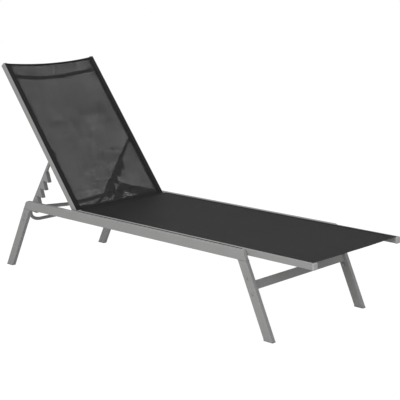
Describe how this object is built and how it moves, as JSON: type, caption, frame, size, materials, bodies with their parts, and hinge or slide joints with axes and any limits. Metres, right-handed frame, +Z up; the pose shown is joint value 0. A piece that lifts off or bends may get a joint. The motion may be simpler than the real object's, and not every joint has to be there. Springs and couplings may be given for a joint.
{
  "type": "sun lounger",
  "caption": "Reclining sun lounger: straight-legged rectangular tube frame, woven textile slings, and a backrest held by a toothed support frame.",
  "frame": {"origin": "on the ground, under the middle of the lounger's length and width", "axes": "+X toward the foot end, +Y toward the lounger's left side seen by someone lying on it, +Z up"},
  "size_m": [1.8634, 0.6042, 0.9686],
  "materials": {
    "powder_coat": "fine textured light grey powder coat",
    "sling_fabric": "open woven coated mesh, dark grey",
    "hem_rod": "matte black",
    "dark_plastic": "matte moulded grey",
    "light_plastic": "matte moulded light grey",
    "spacer_plastic": "matte moulded black",
    "hardware": "dull plated steel"
  },
  "bodies": {
    "base": {"rail_left": "powder_coat", "rear_leg_left": "powder_coat", "front_leg_left": "powder_coat", "rear_foot_cap_left": "dark_plastic", "front_foot_cap_left": "dark_plastic", "brace_plate_left": "powder_coat", "bar_plate_left": "powder_coat", "seat_rail_left": "powder_coat", "seat_rail_caps_left": "light_plastic", "seat_keder_left": "hem_rod", "rail_right": "powder_coat", "rear_leg_right": "powder_coat", "front_leg_right": "powder_coat", "rear_foot_cap_right": "dark_plastic", "front_foot_cap_right": "dark_plastic", "brace_plate_right": "powder_coat", "bar_plate_right": "powder_coat", "seat_rail_right": "powder_coat", "seat_rail_caps_right": "light_plastic", "seat_keder_right": "hem_rod", "front_brace": "powder_coat", "support_bar": "powder_coat", "seat_cross_tube_rear": "powder_coat", "seat_cross_tube_middle": "powder_coat", "seat_cross_tube_foot": "powder_coat", "seat_weld_tabs": "powder_coat", "seat_sling": "sling_fabric", "brace_bolts": "hardware", "brace_nuts": "hardware", "bar_bolts": "hardware", "bar_nuts": "hardware", "hinge_bolts": "hardware", "hinge_inserts": "hardware", "hinge_spacers": "spacer_plastic"},
    "backrest": {"backrest_rail_left": "powder_coat", "backrest_rail_caps_left": "light_plastic", "backrest_keder_left": "hem_rod", "backrest_rail_right": "powder_coat", "backrest_rail_caps_right": "light_plastic", "backrest_keder_right": "hem_rod", "backrest_lower_tube": "powder_coat", "backrest_upper_tube": "powder_coat", "backrest_sling": "sling_fabric", "support_pivot_bolts": "hardware", "support_pivot_inserts": "hardware", "support_pivot_spacers": "spacer_plastic"},
    "support": {"support_tube": "powder_coat", "support_tube_plugs": "spacer_plastic", "support_rack_left": "powder_coat", "support_rack_right": "powder_coat"}
  },
  "joints": [
    {"name": "backrest_recline", "type": "hinge", "parent": "base", "child": "backrest", "pos_m": [-0.425, 0, 0.325], "axis": [0, -1, 0], "range_deg": [0, 52]},
    {"name": "support_swing", "type": "hinge", "parent": "backrest", "child": "support", "pos_m": [-0.61586, 0, 0.56928], "axis": [0, 1, 0], "range_deg": [0, 99]}
  ],
  "couplings": [
    {"joint": "support_swing", "follows": "backrest_recline", "ratio": 1.9}
  ]
}
